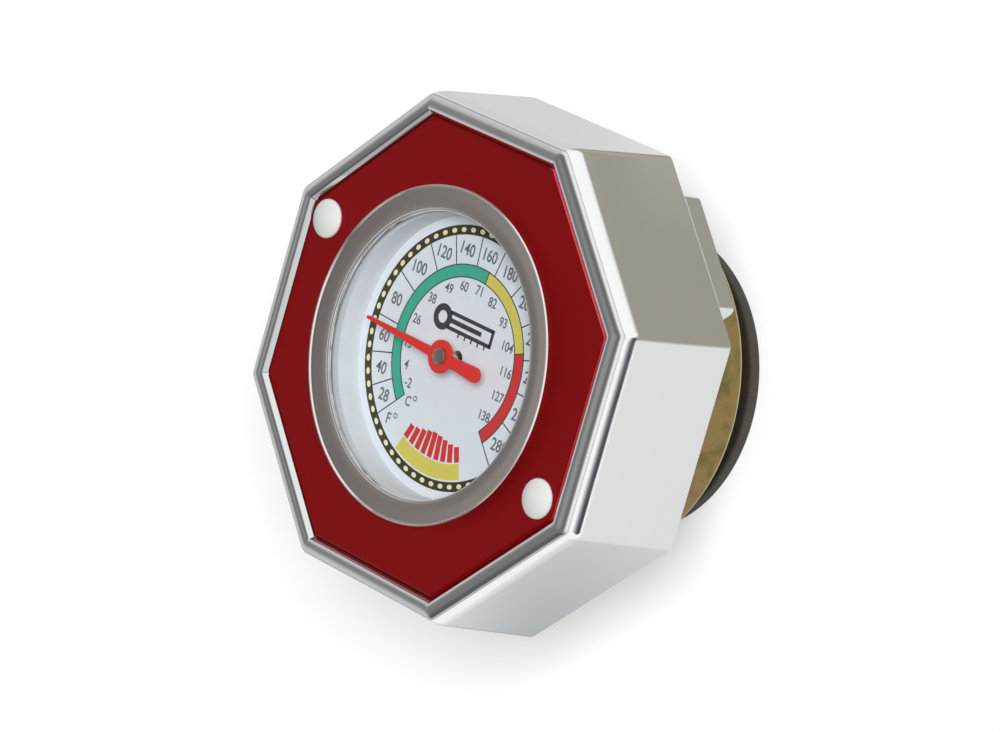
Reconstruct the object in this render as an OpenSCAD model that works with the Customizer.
// Radiator cap with a dial thermometer in an octagonal housing.
// The origin is the middle of the neck gasket's lower face, where the filler neck's rim seats.
// +Z runs along the cap's axis towards the dial, and +Y is the dial's upright direction.

/* [Housing] */
// Width across flats at the rear edge
housing_flats = 72; // [70:0.5:78]
// How much narrower the front is, across flats
housing_draft = 2; // [0:0.1:3]
// Height from the rear edge to the front rim
housing_h = 21; // [20:0.5:26]
// Wall thickness
housing_wall = 2.2; // [1.6:0.1:3]
// Rounding of the corners and of the front edge
housing_round = 1.8; // [0.8:0.1:2.4]
// Width of the rim around the face plate
rim_w = 3.15; // [2.8:0.05:5]
// Thickness of the deck under the face plate
deck_t = 2.5; // [1.5:0.1:3]
// Thickness of the ribs in the corners
rib_t = 1.6; // [1:0.1:2.4]
// Length of each rib from the wall inwards
rib_reach = 7; // [5:0.5:9]

/* [Face plate and rivets] */
// Thickness of the face plate
plate_t = 1.6; // [1:0.1:2.4]
// Depth of the face plate below the rim
plate_recess = 0.8; // [0.3:0.1:1.5]
// Bevel along the face plate's edge
plate_bevel = 0.4; // [0.1:0.1:0.8]
// Distance from a plate corner to the rivet's middle
rivet_inset = 4; // [3.4:0.1:5]
// Radius of a rivet head
rivet_head_r = 2.55; // [2:0.05:3]
// Height of a rivet head
rivet_head_h = 0.9; // [0.5:0.1:1.5]
// Radius of a rivet shank
rivet_shank_r = 1.4; // [1:0.1:1.8]

/* [Gauge] */
// Radius of the open window
window_r = 20.4; // [18:0.1:21]
// Width of the bezel's face
bezel_w = 3.8; // [3.4:0.1:4.4]
// Height of the bezel above the face plate
bezel_h = 1.25; // [0.9:0.05:2]
// Fall of the bezel's face towards the window
bezel_fall = 0.3; // [0:0.05:0.4]
// Thickness of the bezel's outer skirt
bezel_t = 0.45; // [0.3:0.05:0.6]
// How far the lens reaches under the bezel
lens_hold = 1.3; // [0.9:0.1:1.6]
// Thickness of the lens
lens_t = 1.2; // [0.8:0.1:2]
// Thickness of the lens gasket
lens_gasket_t = 0.3; // [0.2:0.05:0.4]
// Height of the white ring between dial and lens
dial_ring_h = 4; // [3.8:0.1:6]
// Thickness of the dial
dial_t = 0.5; // [0.3:0.1:1]
// Thickness of the case wall
case_t = 0.6; // [0.4:0.1:0.9]
// Thickness of the flange that hangs the case on the face plate
case_flange_t = 0.4; // [0.3:0.05:0.6]

/* [Pointer] */
// Length from the spindle to the tip
pointer_tip = 16.5; // [12:0.5:18]
// Length from the spindle to the end of the tail
pointer_tail = 8.6; // [6:0.2:10]
// Width of the tail's end
pointer_tail_w = 2.2; // [1.4:0.1:3]
// Radius of the hub disc
pointer_hub_r = 2.4; // [1.8:0.1:3]
// Thickness of the pointer
pointer_t = 0.4; // [0.3:0.05:0.5]
// Height of the pointer over the dial
pointer_lift = 3; // [2:0.1:3.2]
// Angle of the pointer at rest, left of upright
pointer_rest = 88; // [0:1:135]
// Radius of the boss that holds the pointer
boss_r = 1.2; // [0.9:0.1:1.6]
// Radius of the spindle
spindle_r = 0.6; // [0.4:0.05:0.7]

/* [Stem and probe] */
// Outer radius of the probe tube
probe_r = 3; // [2.5:0.1:3.6]
// Wall of the probe tube
probe_wall = 0.6; // [0.4:0.05:0.7]
// How far the probe tube goes into the stem
probe_insert = 12; // [8:0.5:16]
// Height of the probe's end above the bottom of the seal
probe_end_rise = 0.7; // [0.3:0.1:2]
// Wall of the threaded stem around the probe
stem_wall = 1.95; // [1.4:0.05:2.6]
// Wall of the lock nut at its flats
nut_wall = 2; // [1.4:0.1:3]
// Height of the lock nut
nut_h = 4; // [3:0.5:5]
// Turns of the bimetal coil
coil_turns = 9; // [5:1:9]
// Width of the bimetal strip
coil_strip_w = 1.6; // [1:0.1:1.7]

/* [Cap shell and bayonet cup] */
// Thickness of the pressed sheet
sheet_t = 0.9; // [0.7:0.1:1.2]
// Outer radius of the filler neck's rim
neck_r = 25; // [24:0.1:26]
// Depth of the cup's rim below the gasket face
cup_depth = 11.8; // [10:0.2:13]
// Inward reach of a bayonet lug from the cup's inner wall
lug_reach = 2; // [1:0.1:2.4]
// Angle that each bayonet lug covers
lug_angle = 50; // [30:1:60]
// Width of the shell beyond the cup
shell_margin = 3.3; // [2.4:0.1:4]
// Depth of the shell's turned-down edge
skirt_h = 3.2; // [2.9:0.1:5]
// Width of an ear
ear_w = 18.5; // [14:0.5:22]
// How far an ear stands past the housing's flats
ear_past = 0.1; // [0:0.1:2]
// Distance from the ear's outer edge to the screw
screw_inset = 3.6; // [3.4:0.1:5.5]
// Radius of a screw shank
screw_r = 1.3; // [1.2:0.1:1.8]
// Length of a screw in the housing
screw_len = 10; // [6:0.5:12]

/* [Seals and valves] */
// Thickness of the neck gasket
gasket_t = 1.8; // [1.4:0.1:2.4]
// Width of the neck gasket
gasket_w = 7.5; // [5:0.1:8]
// Thickness of the diaphragm
diaphragm_t = 0.5; // [0.3:0.05:0.8]
// Free reach from the gasket face to the bottom of the pressure seal
valve_reach = 20; // [19:0.1:22]
// Outer radius of the pressure seal
seal_r = 21.8; // [21:0.1:22.5]
// Thickness of the pressure seal
seal_t = 2.1; // [1.9:0.1:2.6]
// Width of the seal's seating ring
seat_w = 5.8; // [4.8:0.1:6.5]
// Width of the seal that shows outside the valve plate
seal_show = 2.3; // [1.8:0.1:3]
// Thickness of the valve plate
valve_plate_t = 1; // [0.7:0.1:1.3]
// Lift of the pressure valve
valve_lift = 3; // [2:0.1:3.5]
// Drop of the vacuum disc
vacuum_drop = 1.4; // [1:0.1:1.6]
// Height left above the valve sleeve at full lift
lift_room = 5.45; // [4:0.05:6]
// Sheet thickness of the guide tube and the valve sleeve
guide_t = 0.7; // [0.5:0.05:0.9]
// Wire radius of the pressure spring
spring_wire_r = 1.1; // [0.8:0.05:1.2]
// Turns of the pressure spring
spring_turns = 4.6; // [3.6:0.1:5]
// Wire radius of the vacuum spring
vacuum_wire_r = 0.4; // [0.25:0.05:0.45]
// Turns of the vacuum spring
vacuum_turns = 2.75; // [2:0.25:3]

/* [Hidden] */
$fn = 96;

// Clearances: parts pushed together, parts that run, parts that stand clear, and overlap of a cut
push_gap = 0.05;
run_gap = 0.1;
clear_gap = 0.3;
cut = 1;

// Levels of the clamped stack, from the gasket face upwards
diaphragm_z = gasket_t;
web_z = diaphragm_z + diaphragm_t;
shell_z = web_z + sheet_t;
rear_z = shell_z + sheet_t;
rim_z = rear_z + housing_h;
plate_top_z = rim_z - plate_recess;
deck_z = plate_top_z - plate_t;
deck_low_z = deck_z - deck_t;

// Octagon of the housing
corner_turn = 22.5;
corner_k = 1 / cos(corner_turn);
front_flats = housing_flats - housing_draft;
recess_flats = front_flats - 2 * rim_w;
plate_flats = recess_flats - 2 * clear_gap;
plate_corner_r = plate_flats / 2 * corner_k;
rivet_at = plate_corner_r - rivet_inset;
rivet_turn = 180 - corner_turn;
rivet_tail_h = 1;
rivet_tail_w = 0.6;
inner_flats = front_flats - 2 * housing_wall;
inner_corner_r = inner_flats / 2 * corner_k;
rib_rise = 0.6;
boss_rise = 0.15;
rib_turns = [for (i = [0:7]) if (i % 4 != 3) corner_turn + 45 * i];

// Gauge, from the face plate downwards
bezel_r = window_r + bezel_w;
bezel_under_z = plate_top_z + case_flange_t;
lens_r = window_r + lens_hold;
case_in_r = lens_r + clear_gap;
case_r = case_in_r + case_t;
gauge_hole_r = case_r + clear_gap;
lens_top_z = bezel_under_z - lens_gasket_t;
lens_low_z = lens_top_z - lens_t;
dial_z = lens_low_z - dial_ring_h;
case_floor_z = dial_z - dial_t;
case_low_z = case_floor_z - case_t;
dial_hole_play = 0.5;
dial_hole_r = spindle_r + dial_hole_play;
bezel_lip_t = 0.5;
bezel_lip_r = window_r + bezel_lip_t;
bezel_edge = 0.35;
dial_ring_r = window_r - run_gap;

// Pointer and spindle
pointer_z = dial_z + pointer_lift;
boss_head_h = 0.4;
boss_low_h = 0.8;
boss_top_z = pointer_z + pointer_t + boss_head_h;

// Stem, nut and probe
stem_bore_r = probe_r + push_gap;
stem_r = stem_bore_r + stem_wall;
stem_hole_r = stem_r + 2 * run_gap;
stem_flange_w = 3;
stem_flange_r = stem_r + stem_flange_w;
stem_flange_t = 1.8;
stem_step = 0.9;
stem_neck_r = stem_r - stem_step;
stem_neck_z = case_floor_z - run_gap;
guide_flange_z = gasket_t - sheet_t;
nut_flats = 2 * (stem_r + nut_wall);
nut_corner_r = nut_flats / 2 / cos(30);
nut_low_z = guide_flange_z - nut_h;
stem_past_nut = 0.9;
stem_low_z = nut_low_z - stem_past_nut;
bush_h = 3;
probe_low_z = -valve_reach + probe_end_rise;
probe_top_z = stem_low_z + probe_insert;
probe_in_r = probe_r - probe_wall;
plug_h = 1.5;
coil_t = 0.3;
coil_r = probe_in_r - clear_gap - coil_t / 2;
coil_low_z = probe_low_z + plug_h;
coil_gap = 0.7;
coil_pitch = coil_strip_w + coil_gap;
coil_top_z = coil_low_z + coil_turns * coil_pitch + coil_strip_w;
spindle_foot_h = 1.2;

// Cup and shell
cup_in_r = neck_r + clear_gap;
cup_r = cup_in_r + sheet_t;
cup_bend = 1.8;
shell_r = cup_r + shell_margin;
ear_reach = housing_flats / 2 + ear_past;
ear_corner = 0.4;
ear_turns = [45, 225];
lug_turns = [135, 315];
screw_at = ear_reach - screw_inset;
screw_head_w = 1.2;
screw_head_h = 1.9;
boss_wall = 1.9;

// Pressure valve, worked outwards from the nut that stands inside the guide tube
nut_room = 0.5;
hook_w = 0.9;
spring_room = 1.2;
guide_flange_past = 0.4;
guide_in_r = nut_corner_r + nut_room;
guide_r = guide_in_r + guide_t;
hook_r = guide_r + hook_w;
sleeve_in_r = hook_r + clear_gap;
sleeve_r = sleeve_in_r + guide_t;
spring_r = sleeve_r + spring_room + spring_wire_r;
guide_flange_r = spring_r + spring_wire_r + guide_flange_past;
guide_depth = valve_lift + lift_room + 2 * guide_t + push_gap - guide_flange_z;
hook_top_z = -guide_depth + guide_t;
seal_low_z = -valve_reach;
plate_low_z = seal_low_z + seal_t;
spring_seat_z = plate_low_z + valve_plate_t;
sleeve_hook_z = hook_top_z + push_gap;
sleeve_top_z = sleeve_hook_z + guide_t;
valve_plate_r = seal_r - seal_show;

// Vacuum valve, worked outwards from the probe
hub_wall = 1.1;
hub_room = 1.2;
eyelet_wall = 0.75;
eyelet_t = 0.5;
crimp_w = 2;
hub_in_r = probe_r + run_gap;
hub_r = hub_in_r + hub_wall;
eyelet_in_r = hub_r + hub_room;
eyelet_r = eyelet_in_r + eyelet_wall;
crimp_r = eyelet_r + crimp_w;
crimp_z = spring_seat_z + guide_t;
crimp_top_z = crimp_z + eyelet_t;
seal_lip_t = 0.8;
seal_lip_z = plate_low_z - seal_lip_t;
recess_r = seal_r - seat_w;
disc_room = 1;
disc_rim_w = 1.6;
disc_t = 0.6;
disc_r = recess_r - disc_room;
disc_low_z = seal_low_z + run_gap;
eyelet_room = 0.6;
eyelet_flange_r = disc_r - disc_rim_w - eyelet_room;
vacuum_spring_in = 0.2;
vacuum_spring_r = eyelet_in_r + vacuum_spring_in + vacuum_wire_r;
vacuum_spare = 0.9;
vacuum_spring_h = vacuum_turns * 2 * vacuum_wire_r + vacuum_drop + vacuum_spare;
clip_t = 0.6;
clip_past = 0.8;
clip_groove = 0.5;
clip_z = crimp_top_z + vacuum_spring_h;
clip_r = vacuum_spring_r + vacuum_wire_r + clip_past;
clip_seat_r = hub_r - clip_groove;
hub_top_z = clip_z + clip_t + clip_groove;
ring_wire_r = 0.4;
ring_r = probe_r + push_gap + ring_wire_r;
ring_rise = 1;
ring_z = crimp_top_z + ring_rise;

// Springs: points along a helix, with a straight end of one wire diameter at both ends
rings_per_turn = 8;

function helix_angle(i, rings) = 360 * i / rings;

function helix_point(r, low, pitch, a) = [r * cos(a), r * sin(a), low + pitch * a / 360];

function helix_along(r, pitch, a) =
    let (v = [-r * sin(a), r * cos(a), pitch / 360 * 180 / PI])
    v / norm(v);

function helix_frames(r, low, high, turns, wire_r) =
    let (pitch = (high - low) / turns, count = round(turns * rings_per_turn), end_a = turns * 360)
    let (first = helix_along(r, pitch, 0), last = helix_along(r, pitch, end_a))
    [
        [helix_point(r, low, pitch, 0) - 2 * wire_r * first, first, 0],
        for (i = [0:count])
            let (a = end_a * i / count)
            [helix_point(r, low, pitch, a), helix_along(r, pitch, a), a],
        [helix_point(r, low, pitch, end_a) + 2 * wire_r * last, last, end_a]
    ];

// Least distance between the surfaces of turns that lie over each other
function helix_least_gap(frames, wire_r) =
    min([
        for (i = [0:len(frames) - 1], j = [i + rings_per_turn / 2:1:len(frames) - 1])
            norm(frames[i][0] - frames[j][0])
    ]) - 2 * wire_r;

// Faces of a tube of rings with equal counts of sides, closed at both ends
function tube_faces(rings, sides) = concat(
    [[for (k = [0:sides - 1]) k]],
    [
        for (i = [0:rings - 2], k = [0:sides - 1])
            let (next = (k + 1) % sides, a = i * sides, b = a + sides)
            each [[a + k, b + k, a + next], [a + next, b + k, b + next]]
    ],
    [[for (k = [sides - 1:-1:0]) (rings - 1) * sides + k]]
);

// Sweeps a section, given as points of (outwards, sideways), along the frames of a helix
module sweep(frames, section) {
    points = [
        for (f = frames)
            let (out = [cos(f[2]), sin(f[2]), 0], side = cross(f[1], out))
            each [for (s = section) f[0] + s[0] * out + s[1] * side]
    ];
    polyhedron(points = points, faces = tube_faces(len(frames), len(section)), convexity = 10);
}

// Round-wire spring that lies between two levels
module wire_spring(name, r, low, high, turns, wire_r) {
    sides = 6;
    section = [for (k = [0:sides - 1]) wire_r * [cos(360 * k / sides), sin(360 * k / sides)]];
    margin = wire_r + push_gap + 2 * wire_r * (high - low) / turns / (2 * PI * r);
    frames = helix_frames(r, low + margin, high - margin, turns, wire_r);
    echo(str(name, " least gap to itself in mm: ", helix_least_gap(frames, wire_r)));
    sweep(frames, section);
}

// Octagonal prism with its flats square to X and Y
module octagon(flats, low, high) {
    translate([0, 0, low])
        rotate(corner_turn)
            cylinder(r = flats / 2 * corner_k, h = high - low, $fn = 8);
}

// Ring of rectangular section
module ring(r_in, r_out, low, high) {
    translate([0, 0, low])
        difference() {
            cylinder(r = r_out, h = high - low);
            translate([0, 0, -cut])
                cylinder(r = r_in, h = high - low + 2 * cut);
        }
}

module bore(r, low, high) {
    translate([0, 0, low])
        cylinder(r = r, h = high - low);
}

// Half-section of a drawn sheet cup that opens downwards, with a rounded edge
module drawn_half(r, low, top, bend) {
    translate([0, low])
        square([r - bend, top - low]);
    translate([0, low])
        square([r, top - bend - low]);
    translate([r - bend, top - bend])
        circle(bend);
}

module housing_outside() {
    ball_at = (front_flats / 2 - housing_round) * corner_k;
    rear_at = (housing_flats / 2 - housing_round) * corner_k;
    hull()
        for (i = [0:7])
            rotate(corner_turn + 45 * i) {
                translate([ball_at, 0, rim_z - housing_round])
                    sphere(housing_round, $fn = 32);
                translate([rear_at, 0, rear_z])
                    cylinder(r = housing_round, h = push_gap, $fn = 32);
            }
}

// Ribs in the six corners of the hollow that hold no rivet
module housing_ribs() {
    for (turn = rib_turns)
        rotate(turn)
            translate([inner_corner_r - rib_reach, -rib_t / 2, rear_z + rib_rise])
                cube([rib_reach + housing_wall / 2, rib_t, deck_z - deck_t / 2 - rear_z - rib_rise]);
}

// Screw bosses over the ears, a little short of the cap shell so that the housing seats on its edge
module housing_bosses() {
    intersection() {
        for (turn = ear_turns)
            rotate(turn)
                translate([screw_at, 0, 0])
                    bore(screw_r + boss_wall, rear_z + boss_rise, deck_z - deck_t / 2);
        octagon(front_flats - housing_wall, rear_z, deck_z);
    }
}

module housing() {
    color("#d9dbdd")
        difference() {
            union() {
                difference() {
                    housing_outside();
                    octagon(inner_flats, rear_z - cut, deck_low_z);
                }
                housing_ribs();
                housing_bosses();
            }
            octagon(recess_flats, deck_z, rim_z + cut);
            bore(gauge_hole_r, deck_low_z - cut, rim_z + cut);
            for (i = [0:1])
                rotate(rivet_turn + 180 * i)
                    translate([rivet_at, 0, 0])
                        bore(rivet_shank_r + push_gap, deck_low_z - cut, rim_z);
            for (turn = ear_turns)
                rotate(turn)
                    translate([screw_at, 0, 0])
                        bore(screw_r + push_gap, rear_z - cut, rear_z + screw_len + cut);
        }
}

module face_plate() {
    bevel_low_z = plate_top_z - plate_bevel;
    color("#86121a")
        difference() {
            union() {
                octagon(plate_flats, deck_z, bevel_low_z);
                translate([0, 0, bevel_low_z])
                    rotate(corner_turn)
                        cylinder(
                            r1 = plate_corner_r,
                            r2 = plate_corner_r - plate_bevel * corner_k,
                            h = plate_bevel,
                            $fn = 8
                        );
            }
            bore(gauge_hole_r, deck_z - cut, plate_top_z + cut);
            for (i = [0:1])
                rotate(rivet_turn + 180 * i)
                    translate([rivet_at, 0, 0])
                        bore(rivet_shank_r + push_gap, deck_z - cut, plate_top_z + cut);
        }
}

// Domed head above the plate, shank through plate and deck, and a formed tail below
module face_rivet() {
    dome_r = (rivet_head_r * rivet_head_r + rivet_head_h * rivet_head_h) / (2 * rivet_head_h);
    intersection() {
        bore(rivet_head_r, plate_top_z, plate_top_z + rivet_head_h);
        translate([0, 0, plate_top_z + rivet_head_h - dome_r])
            sphere(dome_r);
    }
    bore(rivet_shank_r, deck_low_z, plate_top_z);
    bore(rivet_shank_r + rivet_tail_w, deck_low_z - rivet_tail_h, deck_low_z);
}

module face_rivets() {
    color("#dfe1df")
        for (i = [0:1])
            rotate(rivet_turn + 180 * i)
                translate([rivet_at, 0, 0])
                    face_rivet();
}

// Drawn cup with a floor, a wall and a flange that hangs on the face plate
module gauge_case() {
    flange_r = bezel_r - bezel_t - push_gap;
    color("#b9b7b2")
        rotate_extrude()
            difference() {
                union() {
                    translate([0, case_low_z])
                        square([case_r, bezel_under_z - case_low_z]);
                    translate([0, plate_top_z])
                        square([flange_r, case_flange_t]);
                }
                translate([0, case_floor_z])
                    square([case_in_r, bezel_under_z]);
                translate([0, case_low_z - cut])
                    square([stem_neck_r + push_gap, case_floor_z]);
            }
}

// Rolled ring: skirt round the case flange, sloped face and a lip down to the lens
module bezel() {
    top_z = plate_top_z + bezel_h;
    lip_z = lens_top_z + push_gap;
    color("#8d8781")
        rotate_extrude()
            polygon([
                [bezel_r - bezel_t, plate_top_z],
                [bezel_r, plate_top_z],
                [bezel_r, top_z - bezel_edge],
                [bezel_r - bezel_edge, top_z],
                [window_r, top_z - bezel_fall],
                [window_r, lip_z],
                [bezel_lip_r, lip_z],
                [bezel_lip_r, bezel_under_z],
                [bezel_r - bezel_t, bezel_under_z]
            ]);
}

module lens() {
    color("#e8eef0", 0.3)
        bore(lens_r, lens_low_z, lens_top_z);
}

module lens_gasket() {
    color("#2b2b2b")
        ring(bezel_lip_r + push_gap, lens_r, lens_top_z, bezel_under_z);
}

module dial_ring() {
    color("#eef0f2")
        ring(dial_ring_r, lens_r, dial_z, lens_low_z);
}

module dial() {
    color("#e3e6ea")
        ring(dial_hole_r, lens_r, case_floor_z, dial_z);
}

// Slim needle with a widening tail and a hub disc
module pointer() {
    tip_w = 0.5;
    root_w = 1.5;
    color("#d8261f")
        rotate(90 + pointer_rest)
            difference() {
                translate([0, 0, pointer_z])
                    linear_extrude(pointer_t)
                        union() {
                            polygon([
                                [0, -root_w / 2],
                                [pointer_tip, -tip_w / 2],
                                [pointer_tip, tip_w / 2],
                                [0, root_w / 2]
                            ]);
                            polygon([
                                [0, -root_w / 2],
                                [0, root_w / 2],
                                [pointer_tail_w / 2 - pointer_tail, pointer_tail_w / 2],
                                [pointer_tail_w / 2 - pointer_tail, -pointer_tail_w / 2]
                            ]);
                            translate([pointer_tail_w / 2 - pointer_tail, 0])
                                circle(pointer_tail_w / 2);
                            circle(pointer_hub_r);
                        }
                bore(boss_r + push_gap, pointer_z - cut, pointer_z + cut);
            }
}

// Boss with a flange under the pointer and a closed head
module pointer_boss() {
    color("#9a9994")
        difference() {
            union() {
                bore(boss_r, pointer_z - boss_low_h, boss_top_z);
                bore(boss_r + boss_head_h, pointer_z - boss_low_h, pointer_z);
            }
            bore(spindle_r + push_gap, pointer_z - boss_low_h - cut, boss_top_z - boss_head_h);
        }
}

module spindle() {
    color("#b7b7b2") {
        bore(spindle_r, coil_top_z, boss_top_z - boss_head_h);
        bore(coil_r + coil_t / 2, coil_top_z, coil_top_z + spindle_foot_h);
    }
}

module spindle_bush() {
    color("#c9a84e")
        ring(spindle_r + push_gap, probe_r, stem_neck_z - bush_h, stem_neck_z);
}

// Brass shank: neck in the case floor, flange under it, threaded length down through the cap
module stem_bush() {
    flange_low_z = case_low_z - stem_flange_t;
    color("#c2a14a")
        difference() {
            union() {
                bore(stem_neck_r, case_low_z, stem_neck_z);
                bore(stem_flange_r, flange_low_z, case_low_z);
                bore(stem_r, stem_low_z, flange_low_z);
            }
            bore(stem_bore_r, stem_low_z - cut, stem_neck_z + cut);
        }
}

module lock_nut() {
    color("#c2a14a")
        difference() {
            translate([0, 0, nut_low_z])
                cylinder(r = nut_corner_r, h = nut_h, $fn = 6);
            bore(stem_r + push_gap, nut_low_z - cut, guide_flange_z + cut);
        }
}

module probe_tube() {
    color("#c7c6c1")
        ring(probe_in_r, probe_r, probe_low_z, probe_top_z);
}

module probe_plug() {
    color("#b5b4af")
        bore(probe_in_r - push_gap, probe_low_z, coil_low_z);
}

// Flat strip wound on edge round the probe's axis
module bimetal_coil() {
    half_w = coil_strip_w / 2;
    half_t = coil_t / 2;
    section = [[half_t, -half_w], [half_t, half_w], [-half_t, half_w], [-half_t, -half_w]];
    count = coil_turns * rings_per_turn;
    frames = [
        for (i = [0:count])
            let (a = helix_angle(i, rings_per_turn))
            [helix_point(coil_r, coil_low_z + half_w, coil_pitch, a), [-sin(a), cos(a), 0], a]
    ];
    color("#b08a4a")
        sweep(frames, section);
}

// Outline of the shell: a disc with two grip ears
module shell_outline(inset) {
    reach = ear_reach - inset;
    half_w = ear_w / 2 - inset;
    circle(shell_r - inset);
    for (turn = ear_turns)
        rotate(turn)
            polygon([
                [0, -half_w],
                [reach - ear_corner, -half_w],
                [reach, ear_corner - half_w],
                [reach, half_w - ear_corner],
                [reach - ear_corner, half_w],
                [0, half_w]
            ]);
}

module cap_shell() {
    color("#cfd1d3")
        difference() {
            translate([0, 0, rear_z - skirt_h])
                linear_extrude(skirt_h)
                    shell_outline(0);
            translate([0, 0, rear_z - skirt_h - cut])
                linear_extrude(skirt_h + cut - sheet_t)
                    shell_outline(sheet_t);
            bore(stem_hole_r, shell_z - cut, rear_z + cut);
            for (turn = ear_turns)
                rotate(turn)
                    translate([screw_at, 0, 0])
                        bore(screw_r + clear_gap, shell_z - cut, rear_z + cut);
        }
}

module shell_screws() {
    color("#c8c8c4")
        for (turn = ear_turns)
            rotate(turn)
                translate([screw_at, 0, 0]) {
                    bore(screw_r + screw_head_w, shell_z - screw_head_h, shell_z);
                    bore(screw_r, shell_z, rear_z + screw_len);
                }
}

// Cup with a rounded edge and two lugs turned in at its rim
module bayonet_cup() {
    color("#a98f4c") {
        rotate_extrude()
            difference() {
                drawn_half(cup_r, -cup_depth, shell_z, cup_bend);
                drawn_half(cup_in_r, -cup_depth - cut, web_z, cup_bend - sheet_t);
                translate([0, web_z - cut])
                    square([stem_hole_r, sheet_t + 2 * cut]);
            }
        for (turn = lug_turns)
            rotate(turn - lug_angle / 2)
                rotate_extrude(angle = lug_angle)
                    translate([cup_in_r - lug_reach, -cup_depth])
                        square([lug_reach + sheet_t / 2, sheet_t]);
    }
}

module diaphragm() {
    color("#c4c5c3")
        ring(stem_hole_r, neck_r - clear_gap, diaphragm_z, web_z);
}

module neck_gasket() {
    color("#2a2927")
        ring(neck_r - gasket_w, neck_r, 0, gasket_t);
}

// Flange under the diaphragm and a tube with an outward hook at its end
module guide_tube() {
    color("#b7a15c")
        rotate_extrude()
            polygon([
                [stem_hole_r, guide_flange_z],
                [guide_in_r, guide_flange_z],
                [guide_in_r, -guide_depth],
                [hook_r, -guide_depth],
                [hook_r, hook_top_z],
                [guide_r, hook_top_z],
                [guide_r, guide_flange_z],
                [guide_flange_r, guide_flange_z],
                [guide_flange_r, gasket_t],
                [stem_hole_r, gasket_t]
            ]);
}

module pressure_spring() {
    color("#8f8f8c")
        wire_spring("pressure_spring", spring_r, spring_seat_z, guide_flange_z, spring_turns, spring_wire_r);
}

module valve_plate() {
    color("#b39c58")
        ring(eyelet_r + push_gap, valve_plate_r, plate_low_z, spring_seat_z);
}

// Sleeve with a foot under the eyelet's crimp and an inward hook over the guide tube's
module valve_sleeve() {
    foot_z = spring_seat_z + guide_t;
    hook_in_r = guide_r + run_gap + push_gap;
    foot_in_r = eyelet_r + push_gap;
    color("#b7a15c")
        rotate_extrude()
            polygon([
                [foot_in_r, spring_seat_z],
                [sleeve_r, spring_seat_z],
                [sleeve_r, sleeve_top_z],
                [hook_in_r, sleeve_top_z],
                [hook_in_r, sleeve_hook_z],
                [sleeve_in_r, sleeve_hook_z],
                [sleeve_in_r, foot_z],
                [foot_in_r, foot_z]
            ]);
}

// Seating ring with a thin lip that the eyelet clamps
module pressure_seal() {
    lip_in_r = eyelet_r + push_gap;
    color("#3d3a35")
        rotate_extrude()
            polygon([
                [lip_in_r, plate_low_z],
                [seal_r, plate_low_z],
                [seal_r, seal_low_z],
                [recess_r, seal_low_z],
                [recess_r, seal_lip_z],
                [lip_in_r, seal_lip_z]
            ]);
}

module seal_retainer() {
    color("#c6c5bf")
        rotate_extrude()
            polygon([
                [eyelet_in_r, seal_lip_z - eyelet_t],
                [eyelet_flange_r, seal_lip_z - eyelet_t],
                [eyelet_flange_r, seal_lip_z],
                [eyelet_r, seal_lip_z],
                [eyelet_r, crimp_z],
                [crimp_r, crimp_z],
                [crimp_r, crimp_top_z],
                [eyelet_in_r, crimp_top_z]
            ]);
}

// Dish whose rim meets the seal's lip, with a hub that slides on the probe
module vacuum_disc() {
    rim_top_z = seal_lip_z - push_gap;
    floor_z = disc_low_z + disc_t;
    color("#c8a64b")
        difference() {
            rotate_extrude()
                polygon([
                    [hub_in_r, disc_low_z],
                    [disc_r, disc_low_z],
                    [disc_r, rim_top_z],
                    [disc_r - disc_rim_w, rim_top_z],
                    [disc_r - disc_rim_w, floor_z],
                    [hub_r, floor_z],
                    [hub_r, hub_top_z],
                    [hub_in_r, hub_top_z]
                ]);
            bore(ring_r + ring_wire_r + push_gap, ring_z - ring_wire_r - push_gap, ring_z + ring_wire_r + push_gap);
            ring(clip_seat_r, hub_r + cut, clip_z - push_gap, clip_z + clip_t + push_gap);
        }
}

module probe_seal() {
    color("#242321")
        translate([0, 0, ring_z])
            rotate_extrude()
                translate([ring_r, 0])
                    circle(ring_wire_r);
}

module vacuum_spring() {
    color("#a8a8a4")
        wire_spring("vacuum_spring", vacuum_spring_r, crimp_top_z, clip_z, vacuum_turns, vacuum_wire_r);
}

// Open clip in the hub's groove
module vacuum_clip() {
    mouth = 1.6 * clip_seat_r;
    color("#9c9b97")
        difference() {
            ring(clip_seat_r + push_gap, clip_r, clip_z, clip_z + clip_t);
            translate([0, -mouth / 2, clip_z - cut])
                cube([clip_r + cut, mouth, clip_t + 2 * cut]);
        }
}

housing();
face_plate();
face_rivets();
gauge_case();
bezel();
lens();
lens_gasket();
dial_ring();
dial();
pointer();
pointer_boss();
spindle();
spindle_bush();
stem_bush();
lock_nut();
probe_tube();
probe_plug();
bimetal_coil();
cap_shell();
shell_screws();
bayonet_cup();
diaphragm();
neck_gasket();
guide_tube();
pressure_spring();
valve_plate();
valve_sleeve();
pressure_seal();
seal_retainer();
vacuum_disc();
probe_seal();
vacuum_spring();
vacuum_clip();
